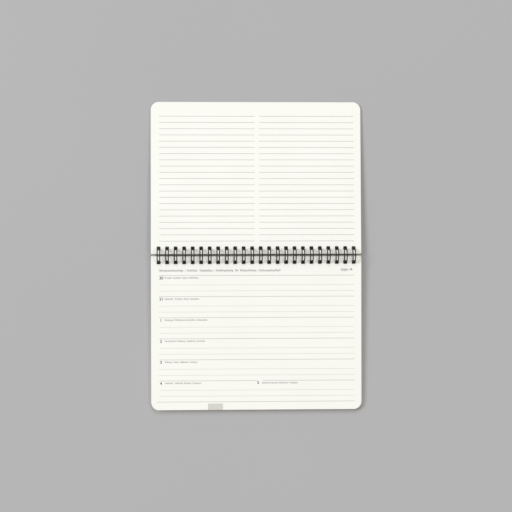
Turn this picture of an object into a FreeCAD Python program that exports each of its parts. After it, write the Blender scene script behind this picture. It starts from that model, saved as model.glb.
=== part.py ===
import FreeCAD, Part

import math
import os

import Sketcher

# Weekly desk planner on a twin-loop wire binding, lying open and flat.
#
# Leaves and covers are flush-cut landscape sheets with a row of square holes
# along the spine edge. One continuous wire, bent into a comb of twin loops and
# rolled shut into a ring, runs through all the holes. The leaves already used
# lie turned over on the front cover, on the +Y side. The leaves still to come
# lie on the back cover, on the -Y side.
#
# Frame: X along the spine, +Y across the turned leaves, +Z up, with the origin
# on the table under the middle of the spine. Millimetres and degrees.

Vector = FreeCAD.Vector
Rotation = FreeCAD.Rotation

# Driving sizes in millimetres: name, value, meaning.
SIZES = [
    ("leaf_width", 210.0, "leaf along the spine"),
    ("leaf_height", 152.2, "leaf from its spine edge to its outer edge"),
    ("leaf_thickness", 0.1, "one leaf"),
    ("cover_thickness", 0.6, "board of each cover"),
    ("outer_corner_radius", 7.8, "corners away from the spine"),
    ("spine_corner_radius", 1.0, "corners beside the spine"),
    ("face_gap", 0.3, "between the facing leaves when the planner is shut"),
    ("spine_gap", 0.3, "between the innermost edges of the two halves"),
    ("loop_pitch", 8.467, "three loops to the inch"),
    ("hole_size", 4.0, "square hole, side to side"),
    ("hole_corner", 0.7, "cut across each corner of a hole"),
    ("hole_margin", 3.0, "least sheet between an end hole and the sheet's side"),
    ("hole_lead", 0.45, "middle of the uppermost holes beyond the ring's line"),
    ("hole_clearance", 0.2, "wire to the edge of the tightest hole"),
    ("twin_clearance", 0.25, "wire to the side of a hole, along the spine"),
    ("wire_thickness", 1.0, "diameter of the wire"),
    ("ring_room", 1.9, "back of the thickest half to the ring's line"),
    ("saddle_bend", 1.0, "bend from a loop into the saddle beside it"),
    ("seam_clearance", 0.1, "loop tips to saddles, where the ring is rolled shut"),
]

# Driving counts: name, number, meaning.
COUNTS = [
    ("leaves_turned", 14, "leaves turned over onto the front cover"),
    ("leaves_left", 40, "leaves lying on the back cover"),
]

# Sizes that follow from the driving ones: name, formula. Depths are measured
# down from the ring's axis, reaches outwards from it. The sheets are fanned:
# each lies a little nearer the spine than the one above it, so that the holes
# of a whole stack follow the ring round. The wire's section is a hexagon of
# the same area as the round wire.
FITS = [
    ("top_depth", "Sizes.face_gap / 2"),
    ("turned_stack", "Sizes.leaves_turned * Sizes.leaf_thickness"),
    ("left_stack", "Sizes.leaves_left * Sizes.leaf_thickness"),
    ("turned_back", "top_depth + turned_stack"),
    ("left_back", "top_depth + left_stack"),
    ("turned_depth", "turned_back + Sizes.cover_thickness"),
    ("left_depth", "left_back + Sizes.cover_thickness"),
    ("deepest", "max(turned_depth; left_depth)"),
    ("ring_radius", "deepest + Sizes.ring_room"),
    ("section_radius", "Sizes.wire_thickness / 2 * sqrt(2 * pi / (3 * sqrt(3)))"),
    ("twin_spacing", "Sizes.hole_size - Sizes.wire_thickness - 2 * Sizes.twin_clearance"),
    ("tip_radius", "twin_spacing / 2"),
    ("seam_reach", "max(tip_radius; Sizes.saddle_bend)"),
    ("ring_height", "sqrt(ring_radius ^ 2 + seam_reach ^ 2) + section_radius"),
    ("inner_reach", "ring_radius - Sizes.wire_thickness / 2 - Sizes.hole_clearance"),
    ("hole_top", "ring_radius + Sizes.hole_lead"),
    ("hole_bottom", "sqrt(inner_reach ^ 2 - deepest ^ 2) + Sizes.hole_size / 2"),
    ("hole_inset", "hole_bottom - Sizes.spine_gap / 2"),
    ("fan_slope", "(hole_top - hole_bottom) / (deepest - top_depth)"),
    ("hole_room", "Sizes.leaf_width - 2 * Sizes.hole_margin - Sizes.hole_size"),
    ("hole_steps", "floor(hole_room / Sizes.loop_pitch)"),
    ("row_length", "hole_steps * Sizes.loop_pitch"),
    ("outer_top", "hole_top - hole_inset + Sizes.leaf_height"),
    ("turned_reach", "outer_top - fan_slope * (turned_depth - top_depth)"),
    ("left_reach", "outer_top - fan_slope * (left_depth - top_depth)"),
    ("turned_span", "sqrt(turned_reach ^ 2 + turned_depth ^ 2)"),
    ("left_span", "sqrt(left_reach ^ 2 + left_depth ^ 2)"),
    ("turned_tilt", "asin(ring_height / turned_span) - asin(turned_depth / turned_span)"),
    ("left_tilt", "asin(ring_height / left_span) - asin(left_depth / left_span)"),
]

# Flat facets that stand for the round wire and its bends, so that all the
# loops together stay light.
WIRE_FACETS = 6
RING_FACETS = 15
TIP_FACETS = 4
BEND_FACETS = 2


def make_sheets(doc):
    """The driving sizes and counts as plain numbers, and the fits worked out from them."""
    sizes = doc.addObject("Spreadsheet::Sheet", "Sizes")
    for row, (name, value, meaning) in enumerate(SIZES + COUNTS, start=1):
        sizes.set(f"A{row}", name)
        sizes.set(f"B{row}", str(value))
        sizes.set(f"C{row}", meaning)
        sizes.setAlias(f"B{row}", name)
    doc.recompute()
    fits = doc.addObject("Spreadsheet::Sheet", "Fits")
    for row, (name, formula) in enumerate(FITS, start=1):
        fits.set(f"A{row}", name)
        fits.set(f"B{row}", "=" + formula)
        fits.setAlias(f"B{row}", name)
        fits.recompute()
    doc.recompute()
    return sizes, fits


def number(sheet, name):
    """A value of a sheet as a plain number, angles in degrees."""
    value = sheet.get(name)
    return float(getattr(value, "Value", value))


def origin_part(body, role):
    """The body's own origin plane or axis with that role."""
    return next(f for f in body.Origin.OriginFeatures if f.Role == role)


def new_sketch(body, name, depth):
    """A sketch on the body's XY plane, lowered by the formula depth."""
    sketch = body.newObject("Sketcher::SketchObject", name)
    sketch.AttachmentSupport = [(origin_part(body, "XY_Plane"), "")]
    sketch.MapMode = "FlatFace"
    sketch.setExpression("AttachmentOffset.Base.z", f"-({depth})")
    return sketch


def constrain(sketch, kind, *where):
    """A geometric constraint of the sketch."""
    return sketch.addConstraint(Sketcher.Constraint(kind, *where))


def dimension(sketch, name, formula, kind, *where):
    """A dimension of the sketch, bound to a formula on the sheets."""
    sketch.renameConstraint(constrain(sketch, kind, *where), name)
    sketch.setExpression(f"Constraints.{name}", formula)


def add_line(sketch, x1, y1, x2, y2):
    """A straight edge of the sketch, from one point to the other."""
    return sketch.addGeometry(Part.LineSegment(Vector(x1, y1, 0), Vector(x2, y2, 0)), False)


def add_corner(sketch, x, y, radius, start):
    """A quarter circle of the sketch, anticlockwise from the start angle."""
    circle = Part.Circle(Vector(x, y, 0), Vector(0, 0, 1), radius)
    arc = Part.ArcOfCircle(circle, math.radians(start), math.radians(start + 90))
    return sketch.addGeometry(arc, False)


def draw_leaf(sketch, sizes, spine_edge, start_edge):
    """A sheet's outline from its spine edge outwards, centred on the Y axis."""
    half = number(sizes, "leaf_width") / 2
    small = number(sizes, "spine_corner_radius")
    large = number(sizes, "outer_corner_radius")
    low = start_edge
    high = low + number(sizes, "leaf_height")
    bottom = add_line(sketch, small - half, low, half - small, low)
    lower_right = add_corner(sketch, half - small, low + small, small, 270)
    right = add_line(sketch, half, low + small, half, high - large)
    upper_right = add_corner(sketch, half - large, high - large, large, 0)
    top = add_line(sketch, half - large, high, large - half, high)
    upper_left = add_corner(sketch, large - half, high - large, large, 90)
    left = add_line(sketch, -half, high - large, -half, low + small)
    lower_left = add_corner(sketch, small - half, low + small, small, 180)
    loop = [bottom, lower_right, right, upper_right, top, upper_left, left, lower_left]
    for one, other in zip(loop, loop[1:] + loop[:1]):
        constrain(sketch, "Tangent", one, 2, other, 1)
    constrain(sketch, "Vertical", right)
    constrain(sketch, "Vertical", left)
    constrain(sketch, "Horizontal", top)
    constrain(sketch, "Equal", lower_right, lower_left)
    constrain(sketch, "Equal", upper_right, upper_left)
    constrain(sketch, "Symmetric", bottom, 1, bottom, 2, -2)
    dimension(sketch, "width", "Sizes.leaf_width", "DistanceX", left, 2, right, 1, 2 * half)
    dimension(sketch, "height", "Sizes.leaf_height", "DistanceY", bottom, 2, top, 1, high - low)
    dimension(sketch, "spine_edge", spine_edge, "DistanceY", -1, 1, bottom, 1, low)
    dimension(sketch, "outer", "Sizes.outer_corner_radius", "Radius", upper_right, large)
    dimension(sketch, "spine", "Sizes.spine_corner_radius", "Radius", lower_right, small)


def draw_hole(sketch, sizes, fits, low_edge, start_low):
    """The first hole of the row: a square with its corners cut across."""
    size = number(sizes, "hole_size")
    cut = number(sizes, "hole_corner")
    right = (size - number(fits, "row_length")) / 2
    left = right - size
    low, high = start_low, start_low + size
    points = [
        (left + cut, low), (right - cut, low), (right, low + cut), (right, high - cut),
        (right - cut, high), (left + cut, high), (left, high - cut), (left, low + cut),
    ]
    edges = [
        add_line(sketch, *start, *end) for start, end in zip(points, points[1:] + points[:1])
    ]
    for one, other in zip(edges, edges[1:] + edges[:1]):
        constrain(sketch, "Coincident", one, 2, other, 1)
    bottom, side, top, far_side = edges[0::2]
    constrain(sketch, "Horizontal", bottom)
    constrain(sketch, "Vertical", side)
    constrain(sketch, "Horizontal", top)
    constrain(sketch, "Vertical", far_side)
    for turn, corner in enumerate(edges[1::2]):
        across = (1, 2) if turn in (0, 3) else (2, 1)
        upwards = (1, 2) if turn in (0, 1) else (2, 1)
        for kind, (one, other) in (("DistanceX", across), ("DistanceY", upwards)):
            ends = (corner, one, corner, other)
            dimension(sketch, f"{kind}_{turn}", "Sizes.hole_corner", kind, *ends, cut)
    dimension(sketch, "width", "Sizes.hole_size", "DistanceX", far_side, 1, side, 1, size)
    dimension(sketch, "height", "Sizes.hole_size", "DistanceY", bottom, 1, top, 1, size)
    to_axis = "(Fits.row_length - Sizes.hole_size) / 2"
    dimension(sketch, "from_axis", to_axis, "DistanceX", side, 1, -1, 1, -right)
    dimension(sketch, "low_edge", low_edge, "DistanceY", -1, 1, bottom, 1, low)


def fan_out(feature, thickness):
    """Carry a sketch down through the thickness along the slope of the fan."""
    feature.UseCustomVector = True
    feature.AlongSketchNormal = True
    feature.Direction = Vector(0, -1, -1)
    feature.setExpression("Direction.y", "-Fits.fan_slope")
    feature.setExpression("Length", thickness)


def punched_stack(doc, sizes, fits, name, depth, thickness, placement):
    """A sheet or stack of sheets with its row of holes, fanned towards the spine.

    It is drawn on the +Y side of the ring's axis, and placement takes it to
    its own side and tilts it until its outer edge rests on the table.
    """
    body = doc.addObject("PartDesign::Body", name)
    body.Label = name
    hole_y = f"Fits.hole_top - Fits.fan_slope * ({depth} - Fits.top_depth)"
    spine_edge = f"{hole_y} - Fits.hole_inset"
    low_edge = f"{hole_y} - Sizes.hole_size / 2"
    top = number(fits, "hole_top")

    outline = new_sketch(body, name + "_outline", depth)
    draw_leaf(outline, sizes, spine_edge, top - number(fits, "hole_inset"))
    sheet = body.newObject("PartDesign::Pad", name + "_sheet")
    sheet.Profile = outline
    fan_out(sheet, thickness)
    doc.recompute()

    hole = new_sketch(body, name + "_hole", depth)
    draw_hole(hole, sizes, fits, low_edge, top - number(sizes, "hole_size") / 2)
    punch = body.newObject("PartDesign::Pocket", name + "_punch")
    punch.Profile = hole
    fan_out(punch, thickness)
    doc.recompute()

    row = body.newObject("PartDesign::LinearPattern", name + "_row")
    row.Originals = [punch]
    row.Direction = (origin_part(body, "X_Axis"), [""])
    row.setExpression("Length", "Fits.row_length")
    row.setExpression("Occurrences", "Fits.hole_steps + 1")
    body.Tip = row
    body.setExpression("Placement", placement)
    doc.recompute()
    return body


def bend(centre, start, end, turn, facets):
    """Points round a circle's centre, from the offset start towards the offset end.

    The point at angle a is centre + start cos a + end sin a, for a from 0 to turn.
    """
    angles = [turn * step / facets for step in range(facets + 1)]
    return [centre + start * math.cos(a) + end * math.sin(a) for a in angles]


def wire_line(sizes, fits):
    """The wire's centre line: up one ring, round its tip, back down, on to the next.

    Every loop rises from the saddle beside it, goes round the ring to its tip
    and comes back one twin spacing along. Tips and saddles face each other
    across the seam, at the bottom of the ring.
    """
    radius = number(fits, "ring_radius")
    tip = number(fits, "tip_radius")
    saddle = number(sizes, "saddle_bend")
    pitch = number(sizes, "loop_pitch")
    steps = int(round(number(fits, "hole_steps")))
    axis = Vector(0, 0, number(fits, "ring_height"))
    along = Vector(1, 0, 0)

    half_seam = (2 * number(fits, "section_radius") + number(sizes, "seam_clearance")) / 2
    first = math.asin(half_seam / radius) + math.atan(saddle / radius) - math.pi / 2
    last = 1.5 * math.pi - math.asin(half_seam / radius) - math.atan(tip / radius)

    def outwards(angle):
        return Vector(0, math.cos(angle), math.sin(angle))

    start, end = outwards(first), outwards(last)
    past_start, past_end = outwards(first + math.pi / 2), outwards(last + math.pi / 2)
    turn = last - first
    points = []
    for step in range(steps + 1):
        middle = axis + along * ((step - steps / 2) * pitch)
        left, right = middle - along * tip, middle + along * tip
        points += bend(left, start * radius, past_start * radius, turn, RING_FACETS)
        points += bend(middle + end * radius, along * -tip, past_end * tip, math.pi, TIP_FACETS)
        points += bend(right, end * radius, past_end * -radius, turn, RING_FACETS)
        if step < steps:
            low = start * radius
            reach = along * saddle
            down = past_start * -saddle
            points += bend(right + low + reach, reach * -1, down, math.pi / 2, BEND_FACETS)
            following = left + along * pitch + low
            points += bend(following - reach, down, reach, math.pi / 2, BEND_FACETS)
    kept = points[:1]
    for point in points[1:]:
        if not point.isEqual(kept[-1], 1e-6):
            kept.append(point)
    return kept


def make_wire(doc, sizes, fits):
    """The whole binding: one faceted wire swept along its centre line."""
    points = wire_line(sizes, fits)
    line = doc.addObject("Part::Feature", "wire_line")
    line.Shape = Part.makePolygon(points)
    section = doc.addObject("Part::RegularPolygon", "wire_section")
    section.Polygon = WIRE_FACETS
    section.setExpression("Circumradius", "Fits.section_radius")
    section.Placement = FreeCAD.Placement(points[0], Rotation(Vector(0, 0, 1), points[1] - points[0]))
    wire = doc.addObject("Part::Sweep", "wire_binding")
    wire.Label = "wire_binding"
    wire.Sections = [section]
    wire.Spine = (line, [])
    wire.Solid = True
    wire.Frenet = False
    wire.Transition = "Right corner"
    doc.recompute()
    return wire


def check(doc, pieces):
    """Stop if any object failed or any piece is not one sound solid."""
    for item in doc.Objects:
        if {"Invalid", "Error"} & set(item.State):
            raise RuntimeError(f"{item.Name} failed: {item.State}")
    for piece in pieces:
        shape = piece.Shape
        if shape.isNull() or not shape.isValid() or len(shape.Solids) != 1:
            raise RuntimeError(f"{piece.Label} is not one sound solid")


def main():
    doc = FreeCAD.newDocument("desk_planner")
    sizes, fits = make_sheets(doc)
    on_axis = "create(<<vector>>; 0; 0; Fits.ring_height)"
    turned = f"create(<<placement>>; {on_axis}; create(<<rotation>>; 0; 0; -Fits.turned_tilt))"
    left = f"create(<<placement>>; {on_axis}; create(<<rotation>>; 180; 0; -Fits.left_tilt))"
    pieces = [
        make_wire(doc, sizes, fits),
        punched_stack(
            doc, sizes, fits, "turned_pages", "Fits.top_depth", "Fits.turned_stack", turned
        ),
        punched_stack(
            doc, sizes, fits, "front_cover", "Fits.turned_back", "Sizes.cover_thickness", turned
        ),
        punched_stack(
            doc, sizes, fits, "remaining_pages", "Fits.top_depth", "Fits.left_stack", left
        ),
        punched_stack(
            doc, sizes, fits, "back_cover", "Fits.left_back", "Sizes.cover_thickness", left
        ),
    ]
    check(doc, pieces)
    os.makedirs("parts", exist_ok=True)
    for piece in pieces:
        piece.Shape.exportStep(f"parts/{piece.Label}.step")
        box = piece.Shape.BoundBox
        print(piece.Label, round(piece.Shape.Volume, 2), [round(v, 3) for v in (
            box.XMin, box.XMax, box.YMin, box.YMax, box.ZMin, box.ZMax)])
    for name in ("ring_radius", "ring_height", "hole_top", "turned_tilt", "left_tilt"):
        print(name, round(number(fits, name), 4))


main()
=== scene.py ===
import math

import bpy
import numpy as np
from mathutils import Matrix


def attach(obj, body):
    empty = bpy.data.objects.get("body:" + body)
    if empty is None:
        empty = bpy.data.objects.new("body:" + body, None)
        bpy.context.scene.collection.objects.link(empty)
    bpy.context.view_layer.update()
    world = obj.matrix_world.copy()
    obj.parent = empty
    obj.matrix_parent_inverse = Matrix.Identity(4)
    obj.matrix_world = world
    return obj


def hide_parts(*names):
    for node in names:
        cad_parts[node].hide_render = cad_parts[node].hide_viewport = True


# Weekly desk planner on a twin-loop wire binding, lying open and flat.
#
# Sizes are in millimetres until a piece becomes a mesh. Each half is worked out
# flat, as (across, out, up): across the page, out from the ring's axis and up
# from it. Then the half is tilted about that axis and lifted to its height.

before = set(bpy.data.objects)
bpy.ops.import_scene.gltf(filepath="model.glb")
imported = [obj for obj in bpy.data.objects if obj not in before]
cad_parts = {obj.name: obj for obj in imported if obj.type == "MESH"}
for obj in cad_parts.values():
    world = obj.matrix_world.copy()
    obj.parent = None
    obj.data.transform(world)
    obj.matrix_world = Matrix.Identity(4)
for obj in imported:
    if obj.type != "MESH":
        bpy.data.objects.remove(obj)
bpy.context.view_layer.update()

MM = 0.001

# A leaf is a little thinner than the step from one to the next, so that
# neighbours never touch.
LEAF_WIDTH = 210.0
LEAF_HEIGHT = 152.2
LEAF_PITCH = 0.1
LEAF_THICKNESS = 0.088
OUTER_CORNER = 7.8
SPINE_CORNER = 1.0
FACE_GAP = 0.3
SPINE_GAP = 0.3
TURNED_LEAVES = 14
LEFT_LEAVES = 40
COVER = 0.6

LOOPS = 24
LOOP_PITCH = 8.467
HOLE = 4.0
HOLE_ROW = 7.1
HOLE_CLEARANCE = 0.2
WIRE_RADIUS = 0.5
RING_RADIUS = 6.65
TWIN_HALF = 1.25
SADDLE_BEND = 1.0
SEAM_CLEARANCE = 0.1

# What follows from the sizes above. Depths are measured down from the ring's
# axis, and the rows of holes outwards from it.
TOP_DEPTH = FACE_GAP / 2
DEEPEST = TOP_DEPTH + LEFT_LEAVES * LEAF_PITCH + COVER
SECTION_RADIUS = WIRE_RADIUS * math.sqrt(2 * math.pi / (3 * math.sqrt(3)))
RING_HEIGHT = math.hypot(RING_RADIUS, TWIN_HALF) + SECTION_RADIUS
INNER_REACH = RING_RADIUS - WIRE_RADIUS - HOLE_CLEARANCE
LOWEST_HOLE = math.sqrt(INNER_REACH ** 2 - DEEPEST ** 2) + HOLE / 2
HOLE_INSET = LOWEST_HOLE - SPINE_GAP / 2
FAN_SLOPE = (HOLE_ROW - LOWEST_HOLE) / (DEEPEST - TOP_DEPTH)
LEAF_REACH = LEAF_HEIGHT - HOLE_INSET
LOOP_MIDDLES = (np.arange(LOOPS) - (LOOPS - 1) / 2) * LOOP_PITCH


class Half:
    """One side of the open planner: its leaves, its tilt and the side it lies on.

    margin is how far its leaves reach from the hole row to the spine, and hole how
    far each hole reaches from that row to the spine and away from it.
    """

    def __init__(self, body, leaves, side, margin, hole):
        self.body = body
        self.leaves = leaves
        self.side = side
        self.margin = margin
        self.hole = hole
        depth = TOP_DEPTH + leaves * LEAF_PITCH + COVER
        reach = HOLE_ROW + LEAF_REACH - FAN_SLOPE * (depth - TOP_DEPTH)
        span = math.hypot(reach, depth)
        self.tilt = math.asin(RING_HEIGHT / span) - math.asin(depth / span)

    def place(self, points):
        """(across, out, up) into the object's frame, in metres.

        The tilt turns out and up about the ring's axis by the half's own angle,
        and the near half is then turned half round about the vertical.
        """
        across, out, up = np.moveaxis(np.asarray(points, float), -1, 0)
        cosine, sine = math.cos(self.tilt), math.sin(self.tilt)
        y = out * cosine + up * sine
        z = up * cosine - out * sine + RING_HEIGHT
        return np.stack([across * self.side, y * self.side, z], -1) * MM


# The far leaves are cut a little closer to their holes than the near ones, whose
# holes reach a little further to the spine.
TURNED = Half("turned_pages", TURNED_LEAVES, 1, HOLE_INSET - 0.2, (1.75, 2.25))
LEFT = Half("remaining_pages", LEFT_LEAVES, -1, HOLE_INSET + 0.4, (2.3, 1.6))


# ---------------------------------------------------------------- materials


class Value:
    """A number socket with arithmetic: each operator adds one Math node."""

    def __init__(self, nodes, socket):
        self.nodes = nodes
        self.socket = socket

    def math(self, operation, *inputs):
        """The value of a Math node with that operation on those inputs."""
        node = self.nodes.node("ShaderNodeMath", {"operation": operation}, *inputs)
        return Value(self.nodes, node.outputs[0])

    def __add__(self, other):
        return self.math("ADD", self, other)

    def __sub__(self, other):
        return self.math("SUBTRACT", self, other)

    def __mul__(self, other):
        return self.math("MULTIPLY", self, other)

    def __rsub__(self, other):
        return self.math("SUBTRACT", other, self)

    __radd__ = __add__
    __rmul__ = __mul__

    def __abs__(self):
        return self.math("ABSOLUTE", self)

    def between(self, low, high):
        """0 below low, 1 above high and a smooth rise from one to the other."""
        settings = {"interpolation_type": "SMOOTHSTEP"}
        node = self.nodes.node("ShaderNodeMapRange", settings, self, low, high, 0.0, 1.0)
        return Value(self.nodes, node.outputs[0])


class Nodes:
    """A node tree, and the one way to add nodes to it."""

    def __init__(self, tree):
        self.tree = tree

    def node(self, kind, settings, *inputs):
        """A node with its settings, then its input sockets in order, None to skip one."""
        node = self.tree.nodes.new(kind)
        for name, value in settings.items():
            setattr(node, name, value)
        sockets = [socket for socket in node.inputs if socket.enabled]
        for socket, value in zip(sockets, inputs):
            self.feed(socket, value)
        return node

    def feed(self, socket, value):
        """A link where value is a socket or a Value, and a constant otherwise."""
        if isinstance(value, Value):
            value = value.socket
        if isinstance(value, bpy.types.NodeSocket):
            self.tree.links.new(value, socket)
        elif value is not None:
            socket.default_value = value

    def blend(self, factor, one, other):
        """The colour one where factor is 0 and other where it is 1."""
        node = self.node("ShaderNodeMix", {"data_type": "RGBA"}, factor, one, other)
        return next(socket for socket in node.outputs if socket.enabled)


class Finish(Nodes):
    """A material with one Principled shader."""

    def __init__(self, name, **constants):
        self.material = bpy.data.materials.new(name)
        self.material.use_nodes = True
        super().__init__(self.material.node_tree)
        self.shader = self.tree.nodes["Principled BSDF"]
        for socket, value in constants.items():
            self.shader.inputs[socket.replace("_", " ")].default_value = value
        coordinates = self.node("ShaderNodeTexCoord", {})
        self.place = coordinates.outputs["Object"]

    def set(self, name, value):
        """The shader's socket of that name gets a link or a constant."""
        self.feed(self.shader.inputs[name], value)

    def noise(self, scale, detail, roughness):
        """Fractal noise from 0 to 1, scale in waves to the metre."""
        node = self.node("ShaderNodeTexNoise", {}, self.place, scale, detail, roughness)
        return Value(self, node.outputs[0])

    def attribute(self, name):
        """A number that the piece carries on its points or faces."""
        node = self.node("ShaderNodeAttribute", {"attribute_name": name})
        return Value(self, node.outputs["Fac"])

    def axis(self, name):
        """One of the Object coordinates, X, Y or Z, in metres."""
        node = self.node("ShaderNodeSeparateXYZ", {}, self.place)
        return Value(self, node.outputs[name])

    def bump(self, height, distance, strength):
        """The surface raised by height times distance, in metres."""
        node = self.node("ShaderNodeBump", {}, strength, distance, None, height)
        self.set("Normal", node.outputs[0])


def paper_finish():
    """Uncoated ivory writing paper, with cut edges that show leaf by leaf and painted shade
    on the edges between the leaves round the holes and along the spine.
    """
    finish = Finish("ivory_paper", Specular_IOR_Level=0.3)
    fibres = finish.noise(2600.0, 3.0, 0.65)
    clouds = finish.noise(28.0, 2.0, 0.5)
    tone = finish.attribute("leaf_tone")
    edge = finish.attribute("cut_edge")
    shade = finish.attribute("between_leaves")
    sheet = finish.blend(
        clouds.between(0.3, 0.7), (0.925, 0.93, 0.88, 1), (0.935, 0.942, 0.895, 1))
    sheet = finish.blend(fibres.between(0.62, 0.8) * 0.35, sheet, (0.88, 0.865, 0.80, 1))
    cut = finish.blend(tone, (0.70, 0.68, 0.60, 1), (0.90, 0.885, 0.81, 1))
    open_part = finish.blend(edge, sheet, cut)
    # Painted shade: the leaves' edges round the holes and along the spine are darkened
    # towards a dark brown, more the deeper they lie.
    finish.set("Base Color", finish.blend(shade, open_part, (0.08, 0.062, 0.024, 1)))
    finish.set("Roughness", fibres * 0.2 + 0.68)
    finish.bump(fibres * 0.5 + clouds * 6.0, 0.00002, 0.5)
    return finish.material


def ink_finish(name, dark, light):
    """Printing ink sunk a little unevenly into the paper."""
    finish = Finish(name, Specular_IOR_Level=0.25)
    mottle = finish.noise(1900.0, 2.0, 0.6)
    finish.set("Base Color", finish.blend(mottle.between(0.3, 0.7), dark, light))
    finish.set("Roughness", mottle * 0.2 + 0.6)
    finish.bump(mottle, 0.00001, 0.4)
    return finish.material


def wire_finish():
    """Steel wire under a satin black coat, rubbed thin on the outside of the loops. The
    saddles get painted light: a paler tan where they lie in shade.
    """
    finish = Finish(
        "coated_wire", Specular_IOR_Level=0.26, Coat_IOR=1.45, Coat_Roughness=0.3)
    grain = finish.noise(900.0, 3.0, 0.6)
    drift = finish.noise(60.0, 1.0, 0.5)
    rubbed = finish.attribute("outside") * grain.between(0.35, 0.75)
    coat = finish.blend(drift, (0.012, 0.010, 0.007, 1), (0.021, 0.018, 0.012, 1))
    coat = finish.blend(rubbed * 0.25, coat, (0.07, 0.06, 0.042, 1))
    # Painted light: the saddles lie in shade at the bottom of the rings and are painted a
    # paler tan.
    coat = finish.blend(finish.attribute("saddle"), coat, (0.13, 0.114, 0.07, 1))
    finish.set("Base Color", coat)
    finish.set("Roughness", grain * 0.14 + 0.34)
    finish.set("Coat Weight", 0.16 - rubbed * 0.1)
    finish.bump(grain, 0.00002, 0.35)
    return finish.material


def board_finish():
    """Plain grey-brown board with a fine grain, paler along its cut edges."""
    finish = Finish("cover_board", Specular_IOR_Level=0.4)
    grain = finish.noise(1500.0, 3.0, 0.6)
    flecks = finish.noise(420.0, 2.0, 0.55)
    edge = LEAF_WIDTH / 2
    side = abs(finish.axis("X")).between((edge - 0.25) * MM, (edge - 0.05) * MM)
    face = finish.blend(
        flecks.between(0.3, 0.7), (0.34, 0.31, 0.215, 1), (0.42, 0.385, 0.275, 1))
    worn = side * grain.between(0.25, 0.6)
    finish.set("Base Color", finish.blend(worn, face, (0.52, 0.48, 0.37, 1)))
    finish.set("Roughness", grain * 0.25 + 0.5)
    finish.bump(grain + flecks, 0.00004, 0.5)
    return finish.material


def floor_finish():
    """A plain pale grey surface."""
    finish = Finish("pale_floor", Specular_IOR_Level=0.1, Roughness=0.9)
    drift = finish.noise(2.0, 2.0, 0.5)
    grey = finish.blend(drift, (0.44, 0.44, 0.45, 1), (0.47, 0.47, 0.48, 1))
    finish.set("Base Color", grey)
    return finish.material


# ------------------------------------------------------------------- meshes


def weld(points, faces):
    """Points that coincide become one, and the corners in faces follow."""
    _, kept, where = np.unique(
        np.round(points, 5), axis=0, return_index=True, return_inverse=True)
    return points[kept], where.reshape(-1)[faces]


def rim(faces):
    """The edges that belong to one face only, each in that face's direction."""
    edges = np.stack([faces, np.roll(faces, -1, axis=1)], -1).reshape(-1, 2)
    _, first, count = np.unique(
        np.sort(edges, axis=1), axis=0, return_index=True, return_counts=True)
    return edges[first[count == 1]]


def make_piece(name, points, faces, material, body, slot, smooth=False, **marks):
    """An object from points in metres and faces, riding on its body.

    marks are named numbers, one to each face or one to each point.
    """
    mesh = bpy.data.meshes.new(name)
    mesh.from_pydata(points.tolist(), [], [list(map(int, face)) for face in faces])
    for mark, values in marks.items():
        domain = "FACE" if len(values) == len(mesh.polygons) else "POINT"
        layer = mesh.attributes.new(mark, "FLOAT", domain)
        layer.data.foreach_set("value", np.asarray(values, np.float32))
    mesh.polygons.foreach_set("use_smooth", np.full(len(mesh.polygons), smooth))
    mesh.materials.append(material)
    mesh.update()
    piece = bpy.data.objects.new(name, mesh)
    bpy.context.scene.collection.objects.link(piece)
    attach(piece, body)
    return piece


# ------------------------------------------------------------------- leaves

# Points round a hole, a whole number to each eighth of a turn, and steps round
# one of the large corners.
HOLE_POINTS = 16
CORNER_STEPS = 8


def hole_outline(half):
    """Points round one hole about its own middle, (across, out).

    They are (sign c |c|^(2/5), sign s |s|^(2/5)) for the cosine c and sine s of
    each turn, which is the superellipse |x|^5 + |y|^5 = 1, drawn to the hole's
    half width and to its two reaches.
    """
    turns = np.arange(HOLE_POINTS) / HOLE_POINTS * 2 * math.pi
    cosine, sine = np.cos(turns), np.sin(turns)
    outline = np.stack([np.sign(c) * np.abs(c) ** (2 / 5) for c in (cosine, sine)], -1)
    return outline * np.stack([0 * sine + HOLE / 2, np.where(sine < 0, *half.hole)], -1)


def hole_cells(half):
    """Points round each hole's cell, (across, out from the hole row), cell by cell.

    A cell is a rectangle. Across, it reaches half way to the next hole or to the
    leaf's side, and outwards from the spine edge to HOLE_INSET beyond the row. Its
    outline is walked at an even pace round a square and stretched to that, and it
    is rounded at the leaf's two spine corners.
    """
    eighths = np.arange(HOLE_POINTS) / HOLE_POINTS * 8
    square = np.stack([
        np.interp(eighths, [0, 1, 3, 5, 7, 8], [1, 1, -1, -1, 1, 1]),
        np.interp(eighths, [0, 1, 3, 5, 7, 8], [0, 1, 1, -1, -1, 0]),
    ], -1)
    end = LEAF_WIDTH / 2
    between = (LOOP_MIDDLES[1:] + LOOP_MIDDLES[:-1]) / 2
    right = np.append(between, end) - LOOP_MIDDLES
    left = np.append(-end, between) - LOOP_MIDDLES
    wide = np.where(square[None, :, 0] > 0, right[:, None], -left[:, None])
    reach = np.where(square[:, 1] < 0, half.margin, HOLE_INSET)
    cells = np.stack([square[None, :, 0] * wide + LOOP_MIDDLES[:, None],
                      np.broadcast_to(square[:, 1] * reach, wide.shape)], -1)
    low = -half.margin
    bend = SPINE_CORNER * (1 - math.sqrt(0.5))
    first, last = 5 * HOLE_POINTS // 8, 7 * HOLE_POINTS // 8
    cells[0, first - 1:first + 2] = [
        (-end, low + SPINE_CORNER), (bend - end, low + bend), (SPINE_CORNER - end, low)]
    cells[-1, last - 1:last + 2] = [
        (end - SPINE_CORNER, low), (end - bend, low + bend), (end, low + SPINE_CORNER)]
    return cells


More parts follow.
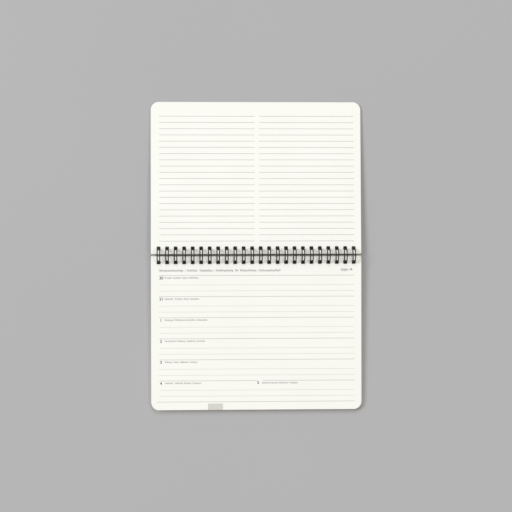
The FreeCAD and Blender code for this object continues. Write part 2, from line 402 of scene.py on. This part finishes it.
def leaf_pattern(half):
    """One leaf of a half laid flat, and how many of its quads lie in the holes' cells.

    Its points are (across, out from the hole row). Along the spine a ring of quads
    lies between each hole and its cell. Beyond the cells the leaf is ruled, each
    line running from the cells' far side to the outer outline, which goes round
    the two large corners as quarter circles.
    """
    cells = hole_cells(half)
    holes = hole_outline(half) + np.stack([LOOP_MIDDLES, np.zeros(LOOPS)], -1)[:, None]
    points = np.concatenate([holes, cells], 1).reshape(-1, 2)
    ring = np.arange(HOLE_POINTS)
    after = (ring + 1) % HOLE_POINTS
    quad = np.stack([ring, ring + HOLE_POINTS, after + HOLE_POINTS, after], -1)
    faces = (np.arange(LOOPS)[:, None, None] * 2 * HOLE_POINTS + quad).reshape(-1, 4)

    far = cells[np.abs(cells[..., 1] - HOLE_INSET) < 1e-6]
    inner = np.unique(np.round(far, 6), axis=0)
    end = LEAF_WIDTH / 2
    arc = np.radians(np.linspace(180, 90, CORNER_STEPS + 1))
    corner = np.stack([np.cos(arc) * OUTER_CORNER + OUTER_CORNER - end,
                       np.sin(arc) * OUTER_CORNER + LEAF_REACH - OUTER_CORNER], -1)
    straight = np.linspace(
        OUTER_CORNER - end, end - OUTER_CORNER, len(inner) - 2 * CORNER_STEPS)
    middle = np.stack([straight, np.full(len(straight), LEAF_REACH)], -1)[1:-1]
    outer = np.concatenate([corner, middle, corner[::-1] * (-1, 1)])
    rows = np.array([0.0, 0.5, 1.0])[:, None, None]
    sheet = inner * (1 - rows) + outer * rows
    wide = len(inner)
    start = (np.arange(len(rows) - 1)[:, None] * wide + np.arange(wide - 1)).reshape(-1, 1)
    ruled = start + np.array([0, 1, wide + 1, wide]) + len(points)
    points, quads = weld(
        np.concatenate([points, sheet.reshape(-1, 2)]), np.concatenate([faces, ruled]))
    return points, quads, len(faces)


def leaf_depth(number):
    """How far below the ring's axis a leaf's top lies, leaves counted from 0 at the top."""
    return TOP_DEPTH + number * LEAF_PITCH


# How far a leaf strays from its place, across and out. Then the painted shade
# between the leaves, at the edges of the holes and along the spine: how strong it
# gets, and over how many millimetres of depth.
STRAY = (0.08, 0.1)
HOLE_SHADE, HOLE_FADE = 1.0, 0.6
SPINE_SHADE, SPINE_FADE = 0.5, 1.0


def leaf_stack(name, half, material, seed):
    """Every leaf of one half as a closed sheet, fanned towards the spine.

    A leaf is the flat pattern at its own depth and again one thickness lower,
    with walls between them. It lies nearer the spine than the leaf above by the
    fan's slope, and strays from that at random. The painted shade on its edges at
    the holes and the spine is strength (1 - e^(-under / fade)), where under is how
    many millimetres it lies under the top leaf.
    """
    rng = np.random.default_rng(seed)
    flat, quads, cells = leaf_pattern(half)
    depth = leaf_depth(np.arange(half.leaves))
    stray = rng.uniform(-1, 1, (half.leaves, 2)) * STRAY
    stray[0] = 0
    shift = stray + np.stack([0 * depth, HOLE_ROW - FAN_SLOPE * (depth - TOP_DEPTH)], -1)
    plan = flat[None] + shift[:, None]
    tops = np.broadcast_to(-depth[:, None], plan.shape[:2])
    upper = np.concatenate([plan, tops[..., None]], -1)
    lower = upper - (0, 0, LEAF_THICKNESS)
    points = np.stack([upper, lower], 1).reshape(-1, 3)
    count = len(flat)
    one, other = rim(quads).T
    walls = np.stack([one + count, other + count, other, one], -1)
    leaf = np.concatenate([quads, quads[:, ::-1] + count, walls])
    faces = (np.arange(half.leaves)[:, None, None] * 2 * count + leaf).reshape(-1, 4)
    cut = np.concatenate([np.zeros(2 * len(quads)), np.ones(len(walls))])
    tone = rng.random(half.leaves)
    # Painted shade between the leaves: full at the holes' edges, half along the spine, none
    # at the side corners.
    inward = np.abs(flat[:, 0]) < LEAF_WIDTH / 2 - 2 * SPINE_CORNER
    spine = (flat[:, 1] < 0.01 - half.margin) & inward
    strength = np.where(spine, SPINE_SHADE, 0.0)
    round_the_holes = quads[:cells, [0, 3]]
    strength[round_the_holes] = HOLE_SHADE
    under = (depth - TOP_DEPTH)[:, None]
    shade = strength * (1 - np.exp(-under / np.where(spine, SPINE_FADE, HOLE_FADE)))
    shade = np.stack([shade, shade], 1)
    shade[-1, 1] = 0
    return make_piece(
        name, half.place(points), faces, material, half.body, "page_paper",
        cut_edge=np.tile(cut, half.leaves), leaf_tone=np.repeat(tone, len(leaf)),
        between_leaves=shade.reshape(-1))


# -------------------------------------------------------------------- print

# How far ink stands out of the paper and reaches into it.
INK_RISE = 0.01
INK_SINK = 0.004

RULE_WEIGHT = 0.35
FAINT_WEIGHT = 0.25

# Notes page: the first line, the step to the next, how many there are, and the
# left and right ends of the two columns.
NOTES_TOP = 7.4
NOTES_STEP = 6.25
NOTES_LINES = 21
NOTES_COLUMNS = [(-96.7, -1.5), (3.0, 98.0)]

# Week page: the rule over the first day, the step to the next day's, the two
# writing lines below each, and the left and right ends of them all. The last
# block's rule has a gap, and the closing rule starts further left.
DAY_TOP = 12.7
DAY_STEP = 21.0
WRITING_LINES = (9.4, 15.35)
DAY_LEFT = -97.0
DAY_RIGHT = 98.0
DAY_GAP = (0.3, 6.0)
CLOSING_LEFT = -99.5

# The month tab at the outer edge: left, near, right and far.
MONTH_TAB = (-48.6, 140.4, -33.7, LEAF_REACH - 0.02)

# The heading's upright bars: where each stands, its half width, top and foot.
BARS = (-70.9, -41.6, 1.6)
BAR_HALF = 0.15
BAR_TOP = 6.7
BAR_FOOT = 9.0

# Small print, with the height of a low letter. Feet lie so far out from the hole
# row, and those of the days' words so far below the rule over their block.
HEADING_FOOT, HEADING_HEIGHT = 8.65, 1.62
WEEK_WORD_FOOT, WEEK_WORD_HEIGHT = 8.1, 1.9
DAY_WORD_FOOT, DAY_WORD_HEIGHT = 3.0, 1.18

# The left and right ends of each word of small print: the heading, the word
# before the week's number, the days that have a block each, and the last day,
# which shares its block with the day before.
HEADING = [(-96.7, -72.7), (-69.0, -58.8), (-56.7, -43.4), (-40.2, -23.0),
           (-21.2, -18.0), (-16.3, -0.1), (3.0, 24.1)]
WEEK_WORD = [(84.6, 91.9)]
DAY_WORDS = [
    [(-91.4, -84.0), (-82.9, -75.0), (-73.9, -67.8), (-66.9, -57.9)],
    [(-91.4, -83.0), (-81.3, -73.9), (-72.7, -67.3), (-66.2, -57.3)],
    [(-91.4, -82.5), (-81.4, -68.9), (-68.2, -60.6), (-59.4, -49.1)],
    [(-91.4, -80.0), (-79.3, -70.5), (-69.1, -60.6), (-59.8, -51.5)],
    [(-91.4, -83.9), (-82.7, -77.9), (-76.5, -68.0), (-66.9, -58.9)],
    [(-91.4, -82.7), (-81.3, -73.5), (-72.3, -65.1), (-63.9, -55.0)],
]
LAST_DAY_WORDS = [(5.0, 13.0), (13.8, 20.7), (21.8, 31.9), (33.4, 41.0)]

# Small print: the width of a stroke, the step from one to the next beyond that
# width, and how far a stroke reaches above its foot and below it, in heights of a
# low letter. A word starts with tall strokes.
STROKE_WIDTHS = (0.15, 0.21)
STROKE_GAPS = (0.13, 0.23)
STROKE_REACHES = [(1.0, 0.0), (1.0, 0.0), (1.0, 0.0), (1.4, 0.0), (1.0, 0.35)]
CAPITAL = (1.4, 0.0)
CAPITAL_WIDTH = 0.6

# Numbers: a digit's height in the face's own units, and how much it is fattened.
# Then the left end, foot and height of the week's, of a day's and of the last
# day's. A day's starts further left by DIGIT_STEP for each digit that it has.
DIGIT = 0.72
DIGIT_WEIGHT = 0.11
DIGIT_STEP = 0.55
WEEK_NUMBER = (92.9, 7.9, 2.2)
DAY_NUMBER = (-95.7, 3.85, 2.9)
LAST_DAY_NUMBER = (0.5, 3.3, 2.9)


class Page:
    """The printed face of a half, as the reader sees it.

    (right, out) are measured from the middle of the hole row, to the reader's
    right and away from the spine. The far page reads away from the spine
    upwards and the near page downwards. An underside is the last leaf's back,
    read once its stack has been turned over.
    """

    def __init__(self, half, under=False):
        self.half = half
        self.under = under
        number = half.leaves - 1 if under else 0
        self.row = HOLE_ROW - FAN_SLOPE * (leaf_depth(number) - TOP_DEPTH)
        self.face = -leaf_depth(number) - (LEAF_THICKNESS if under else 0)

    def place(self, points):
        """(right, out, rise from the face) into the object's frame, in metres."""
        right, out, rise = np.moveaxis(np.asarray(points, float), -1, 0)
        rise = -rise if self.under else rise
        local = [right * self.half.side, out + self.row, rise + self.face]
        return self.half.place(np.stack(local, -1))


def ink_fields(name, page, fields, material):
    """Flat printed fields, each a box from its low to its high corner.

    fields holds one row (left, near, right, far) to each field. The box rises
    from the leaf by INK_RISE and reaches into it by INK_SINK.
    """
    fields = np.asarray(fields, float)
    right = fields[:, [0, 2, 2, 0, 0, 2, 2, 0]]
    out = fields[:, [1, 1, 3, 3, 1, 1, 3, 3]]
    rise = np.broadcast_to(np.repeat([-INK_SINK, INK_RISE], 4), right.shape)
    points = page.place(np.stack([right, out, rise], -1).reshape(-1, 3))
    box = np.array([(3, 2, 1, 0), (4, 5, 6, 7), (0, 1, 5, 4),
                    (1, 2, 6, 5), (2, 3, 7, 6), (3, 0, 4, 7)])
    if (page.half.side < 0) != page.under:
        box = box[:, ::-1]
    faces = (np.arange(len(fields))[:, None, None] * 8 + box).reshape(-1, 4)
    return make_piece(name, points, faces, material, page.half.body, "print_ink")


def rule(left, right, out, weight):
    """A ruled line as one field, with its middle at out."""
    return left, out - weight / 2, right, out + weight / 2


def word_ticks(rng, words, out, height):
    """Small upright strokes that stand for words of print too small to read.

    words holds the left and right end of each. Strokes follow each other from one
    end to the other at an uneven step. The first of them are tall like a capital.
    Of the rest most are low, and some reach up or down. out is their foot, nearer
    the reader.
    """
    ticks = []
    for left, right in words:
        at = left
        while at < right - 0.1:
            wide = rng.uniform(*STROKE_WIDTHS)
            above, below = rng.choice(STROKE_REACHES)
            if at < left + CAPITAL_WIDTH:
                above, below = CAPITAL
            ticks.append(
                (at, out - above * height, min(at + wide, right), out + below * height))
            at += wide + rng.uniform(*STROKE_GAPS)
    return ticks


def drawn_number(text, height):
    """A number in the built-in face, lying flat, as points, corners and sizes.

    corners names the point at each corner of each face, all in one row, and sizes
    is how many of them each face has.
    """
    curve = bpy.data.curves.new(text, "FONT")
    curve.body = text
    curve.size = height / DIGIT
    curve.offset = DIGIT_WEIGHT
    curve.extrude = (INK_RISE + INK_SINK) / 2
    curve.resolution_u = 4
    drawn = bpy.data.objects.new(text, curve)
    bpy.context.scene.collection.objects.link(drawn)
    bpy.context.view_layer.update()
    mesh = bpy.data.meshes.new_from_object(
        drawn.evaluated_get(bpy.context.evaluated_depsgraph_get()))
    points = np.empty(len(mesh.vertices) * 3)
    mesh.vertices.foreach_get("co", points)
    corners = np.empty(len(mesh.loops), int)
    mesh.loops.foreach_get("vertex_index", corners)
    sizes = np.empty(len(mesh.polygons), int)
    mesh.polygons.foreach_get("loop_total", sizes)
    bpy.data.objects.remove(drawn)
    bpy.data.curves.remove(curve)
    bpy.data.meshes.remove(mesh)
    points, corners = weld(points.reshape(-1, 3), corners)
    return points, corners, sizes


def numerals(name, page, entries, material):
    """Plain numbers as one mesh of thin raised ink.

    entries holds (text, left, out of the foot, height) for each. A face that
    shrank to a line when its number was welded is left out.
    """
    every_point, every_face, count = [], [], 0
    up = -1 if page.half.side < 0 or page.under else 1
    for text, left, out, height in entries:
        points, corners, sizes = drawn_number(text, height)
        local = np.stack([points[:, 0] + left, out + up * points[:, 1],
                          points[:, 2] + (INK_RISE - INK_SINK) / 2], -1)
        every_point.append(page.place(local))
        faces = np.split(corners + count, np.cumsum(sizes)[:-1])
        every_face += [face for face in faces if len(np.unique(face)) > 2]
        count += len(points)
    return make_piece(
        name, np.concatenate(every_point), every_face, material, page.half.body,
        "print_ink")


def notes_print(prefix, page, inks):
    """A notes page: two columns of ruled lines."""
    lines = [rule(*column, NOTES_TOP + NOTES_STEP * step, RULE_WEIGHT)
             for step in range(NOTES_LINES) for column in NOTES_COLUMNS]
    ink_fields(prefix + "_notes_ruling", page, lines, inks["ruling"])


def day_line(block):
    """How far out the rule over a day's block lies, blocks counted from 0."""
    return DAY_TOP + DAY_STEP * block


def week_ruling(prefix, page, inks):
    """The rules of a week page: over each block, within it and under the last."""
    blocks = len(DAY_WORDS)
    heavy, faint = [], []
    for block in range(blocks):
        out = day_line(block)
        if block < blocks - 1:
            heavy.append(rule(DAY_LEFT, DAY_RIGHT, out, RULE_WEIGHT))
        else:
            heavy += [rule(DAY_LEFT, DAY_GAP[0], out, RULE_WEIGHT),
                      rule(DAY_GAP[1], DAY_RIGHT, out, RULE_WEIGHT)]
        faint += [rule(DAY_LEFT, DAY_RIGHT, out + line, FAINT_WEIGHT)
                  for line in WRITING_LINES]
    heavy.append(rule(CLOSING_LEFT, DAY_RIGHT, day_line(blocks), RULE_WEIGHT))
    ink_fields(prefix + "_day_ruling", page, heavy, inks["ruling"])
    ink_fields(prefix + "_faint_ruling", page, faint, inks["faint"])


def week_print(prefix, page, inks, days, week, seed):
    """A week page: ruling, heading and a number and small print for each day.

    The seventh day has its number and words half way along the sixth day's block.
    A small tab stands at the outer edge.
    """
    rng = np.random.default_rng(seed)
    words = word_ticks(rng, HEADING, HEADING_FOOT, HEADING_HEIGHT)
    words += word_ticks(rng, WEEK_WORD, WEEK_WORD_FOOT, WEEK_WORD_HEIGHT)
    words += [(bar - BAR_HALF, BAR_TOP, bar + BAR_HALF, BAR_FOOT) for bar in BARS]
    numbers = [(week, *WEEK_NUMBER)]
    left, foot, height = DAY_NUMBER
    for block, (day, day_words) in enumerate(zip(days, DAY_WORDS)):
        out = day_line(block)
        words += word_ticks(rng, day_words, out + DAY_WORD_FOOT, DAY_WORD_HEIGHT)
        numbers.append((day, left - DIGIT_STEP * len(day), out + foot, height))
    words += word_ticks(rng, LAST_DAY_WORDS, out + DAY_WORD_FOOT, DAY_WORD_HEIGHT)
    left, foot, height = LAST_DAY_NUMBER
    numbers.append((days[-1], left, out + foot, height))
    week_ruling(prefix, page, inks)
    ink_fields(prefix + "_small_print", page, words, inks["words"])
    numerals(prefix + "_numbers", page, numbers, inks["numbers"])
    ink_fields(prefix + "_month_tab", page, [MONTH_TAB], inks["tab"])


# --------------------------------------------------------------------- wire

# Points along each run of the wire's centre line, ends included, and round it.
RING_POINTS = 44
TIP_POINTS = 11
BEND_POINTS = 6
SADDLE_POINTS = 7
WIRE_SIDES = 14

# How far a loop leans along the spine at its top, and how far the dressed ends
# of the wire stand out, in section radii.
LEAN = (-0.06, 0.1)
END_BULGE = 0.4

# The height, in ring radii above the axis, below which the wire is marked as
# saddle and painted a paler tan as painted light in the saddles' shade, and the
# height over which that mark comes in.
SADDLE_LINE = -0.9
SADDLE_FADE = 0.06


def wire_path():
    """The wire's centre line and, at each point, a unit normal square to it.

    Each loop goes up the ring as an arc about its axis, round the tip as a half
    circle in the plane that touches the ring there, back down as a second arc
    and through the saddle as two quarter circles and a straight between them.
    The normal is the ring's own radius at the arc, the tip or the saddle. Each
    loop then leans along the spine by its lean times (up / ring radius)^2.
    """
    half_seam = (2 * SECTION_RADIUS + SEAM_CLEARANCE) / 2
    first = (math.asin(half_seam / RING_RADIUS) + math.atan(SADDLE_BEND / RING_RADIUS)
             - math.pi / 2)
    last = (1.5 * math.pi - math.asin(half_seam / RING_RADIUS)
            - math.atan(TWIN_HALF / RING_RADIUS))
    ring = np.linspace(first, last, RING_POINTS)
    half_turn = np.linspace(0, math.pi, TIP_POINTS)[1:-1]
    quarter = np.linspace(0, math.pi / 2, BEND_POINTS)[1:-1]

    def outwards(angle):
        """Unit vectors out along the ring's radius at each angle."""
        return np.stack([0 * angle, np.cos(angle), np.sin(angle)], -1)

    def at(across, ahead, angle):
        """Points across and ahead of the ring's radius in its touching plane at angle."""
        flat = np.full(len(across), float(angle))
        base = outwards(flat) * RING_RADIUS + outwards(flat + math.pi / 2) * ahead[:, None]
        base[:, 0] += across
        return base, outwards(flat)

    up = outwards(ring) * RING_RADIUS - (TWIN_HALF, 0, 0)
    down = outwards(ring[::-1]) * RING_RADIUS + (TWIN_HALF, 0, 0)
    tip = at(-TWIN_HALF * np.cos(half_turn), TWIN_HALF * np.sin(half_turn), last)
    leave = at(TWIN_HALF + SADDLE_BEND * (1 - np.cos(quarter)),
               -SADDLE_BEND * np.sin(quarter), first)
    gap = LOOP_PITCH - 2 * TWIN_HALF - 2 * SADDLE_BEND
    level = np.linspace(0, gap, SADDLE_POINTS)
    saddle = at(TWIN_HALF + SADDLE_BEND + level,
                np.full(SADDLE_POINTS, -SADDLE_BEND), first)
    enter = at(TWIN_HALF + SADDLE_BEND + gap + SADDLE_BEND * np.sin(quarter),
               -SADDLE_BEND * np.cos(quarter), first)
    loop = np.concatenate([up, tip[0], down, leave[0], saddle[0], enter[0]])
    normals = np.concatenate(
        [outwards(ring), tip[1], outwards(ring[::-1]), leave[1], saddle[1], enter[1]])
    rng = np.random.default_rng(24)
    lean = rng.uniform(*LEAN, LOOPS)
    top = np.clip(loop[:, 2] / RING_RADIUS, 0, 1) ** 2
    path = np.broadcast_to(loop, (LOOPS, *loop.shape)).copy()
    path[..., 0] += LOOP_MIDDLES[:, None] + lean[:, None] * top
    length = LOOPS * len(loop) - (len(leave[0]) + len(saddle[0]) + len(enter[0]))
    path = path.reshape(-1, 3)[:length]
    return path, np.tile(normals, (LOOPS, 1))[:length]


def wire_binding(material):
    """The twin-loop wire: a round section carried along its centre line.

    At each point the section is radius (cos a normal + sin a (direction x normal)),
    with the normal squared to the direction first. Both ends are cut and dressed:
    the last rings shrink as a quarter circle and meet in a point. The outside is
    marked by cos a, and the saddles by how low they lie, which paints them paler
    as painted light in their shade.
    """
    path, normal = wire_path()
    ends = np.sin(np.radians([75, 45, 15]))
    direction = np.gradient(path, axis=0)
    direction /= np.linalg.norm(direction, axis=1)[:, None]
    reach = np.concatenate([ends, np.zeros(len(path)), ends[::-1]])
    radius = np.sqrt(1 - reach ** 2) * SECTION_RADIUS
    reach = reach * SECTION_RADIUS * END_BULGE
    step = np.arange(len(reach))
    pick = np.clip(step - len(ends), 0, len(path) - 1)
    sign = np.where(step < len(ends), -1, 1)
    centre = path[pick] + direction[pick] * (reach * sign)[:, None]
    along = direction[pick]
    square = normal[pick] - along * np.sum(normal[pick] * along, 1)[:, None]
    square /= np.linalg.norm(square, axis=1)[:, None]
    third = np.cross(along, square)
    angle = (np.arange(WIRE_SIDES) / WIRE_SIDES * 2 * math.pi)[:, None]
    section = square[:, None] * np.cos(angle) + third[:, None] * np.sin(angle)
    points = centre[:, None] + section * radius[:, None, None]
    outside = np.tile(np.clip(np.cos(angle[:, 0]), 0, 1), len(centre))
    # Painted light: the saddle mark makes the lowest part of each loop paler where it lies
    # in shade.
    low = np.clip((SADDLE_LINE - centre[:, 2] / RING_RADIUS) / SADDLE_FADE, 0, 1)
    saddle = np.repeat(low, WIRE_SIDES)
    first = np.arange(WIRE_SIDES)
    after = (first + 1) % WIRE_SIDES
    row = np.arange(len(centre) - 1)[:, None] * WIRE_SIDES
    walls = np.stack([row + first, row + after, row + after + WIRE_SIDES,
                      row + first + WIRE_SIDES], -1).reshape(-1, 4)
    last = (len(centre) - 1) * WIRE_SIDES
    pole = np.full(WIRE_SIDES, len(centre) * WIRE_SIDES)
    first_cap = np.stack([after, first, pole], -1)
    last_cap = np.stack([last + first, last + after, pole + 1], -1)
    poles = np.array([path[0] - direction[0] * SECTION_RADIUS * END_BULGE,
                      path[-1] + direction[-1] * SECTION_RADIUS * END_BULGE])
    points = np.concatenate([points.reshape(-1, 3), poles]) + (0, 0, RING_HEIGHT)
    faces = walls.tolist() + first_cap.tolist() + last_cap.tolist()
    return make_piece(
        "twin_loop_wire", points * MM, faces, material, "wire_binding", "binding_wire",
        smooth=True, outside=np.append(outside, [1, 1]), saddle=np.append(saddle, [0, 0]))


# ------------------------------------------------------------------- the part

paper = paper_finish()
inks = {
    "ruling": ink_finish("ruling_ink", (0.35, 0.35, 0.34, 1), (0.42, 0.42, 0.40, 1)),
    "faint": ink_finish("faint_ink", (0.50, 0.50, 0.48, 1), (0.57, 0.57, 0.54, 1)),
    "words": ink_finish("small_print_ink", (0.22, 0.22, 0.21, 1), (0.29, 0.29, 0.278, 1)),
    "numbers": ink_finish("number_ink", (0.13, 0.13, 0.123, 1), (0.175, 0.175, 0.166, 1)),
    "tab": ink_finish("tab_ink", (0.635, 0.635, 0.59, 1), (0.685, 0.685, 0.64, 1)),
}
board = board_finish()

turned = leaf_stack("turned_leaves", TURNED, paper, 7)
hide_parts("turned_pages")
left = leaf_stack("week_leaves", LEFT, paper, 11)
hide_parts("remaining_pages")
wire = wire_binding(wire_finish())
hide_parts("wire_binding")
for node in ("front_cover", "back_cover"):
    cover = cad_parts[node]
    cover.data.materials.clear()
    cover.data.materials.append(board)

DAYS = ["30", "31", "1", "2", "3", "4", "5"]
EARLIER_DAYS = ["5", "6", "7", "8", "9", "10", "11"]
notes_print("turned", Page(TURNED), inks)
week_print("week", Page(LEFT), inks, DAYS, "14", 3)
notes_print("last", Page(LEFT, under=True), inks)
week_print("first", Page(TURNED, under=True), inks, EARLIER_DAYS, "1", 5)


# ------------------------------------------------- floor, light and camera

# Metres, as is everything below.
FLOOR_HALF = 4.0
FLOOR_DROP = 0.00005
LAMP_COLOUR = (0.87, 0.955, 1.0)


def add_floor(material):
    """A flat square far wider than the view, a hair below the part."""
    mesh = bpy.data.meshes.new("floor")
    square = [(-1, -1), (1, -1), (1, 1), (-1, 1)]
    corners = [(x * FLOOR_HALF, y * FLOOR_HALF, -FLOOR_DROP) for x, y in square]
    mesh.from_pydata(corners, [], [(0, 1, 2, 3)])
    mesh.materials.append(material)
    floor = bpy.data.objects.new("floor", mesh)
    bpy.context.scene.collection.objects.link(floor)


def add_lamp(name, place, size, power):
    """A square lamp of that size in metres and power in watts, aimed at the spine."""
    light = bpy.data.lights.new(name, "AREA")
    light.shape = "SQUARE"
    light.size = size
    light.color = LAMP_COLOUR
    light.energy = power
    lamp = bpy.data.objects.new(name, light)
    distance = math.sqrt(sum(x * x for x in place))
    lamp.location = place
    lamp.rotation_euler = (math.acos(place[2] / distance), 0,
                           math.atan2(place[1], place[0]) + math.pi / 2)
    bpy.context.scene.collection.objects.link(lamp)


def add_world(light, backdrop):
    """An even surround that gives light, with a plain backdrop where it is seen."""
    world = bpy.data.worlds.new("studio")
    world.use_nodes = True
    nodes = Nodes(world.node_tree)
    rays = nodes.node("ShaderNodeLightPath", {}).outputs
    seen = Value(nodes, rays["Is Camera Ray"]) + Value(nodes, rays["Is Glossy Ray"])
    seen = seen + Value(nodes, rays["Is Transmission Ray"])
    sky = nodes.tree.nodes["Background"]
    nodes.feed(sky.inputs["Color"], nodes.blend(seen, light, backdrop))
    bpy.context.scene.world = world


add_floor(floor_finish())
add_lamp("left", (-6.18, 2.16, 6.18), 3.4, 418.0)
add_lamp("back", (-0.32, 6.36, 6.36), 3.0, 196.0)
add_lamp("right", (4.80, -1.60, 7.45), 2.4, 106.0)
add_world((0.495, 0.434, 0.387, 1), (0.46, 0.46, 0.47, 1))

lens = bpy.data.cameras.new("camera")
lens.sensor_width = 36.0
lens.lens = 98.27
camera = bpy.data.objects.new("camera", lens)
camera.location = (-0.0582, -0.00945, 1.4)
camera.rotation_euler = tuple(math.radians(angle) for angle in (0.375, -2.375, -0.151))
bpy.context.scene.collection.objects.link(camera)
bpy.context.scene.camera = camera
bpy.context.scene.view_settings.view_transform = "Standard"
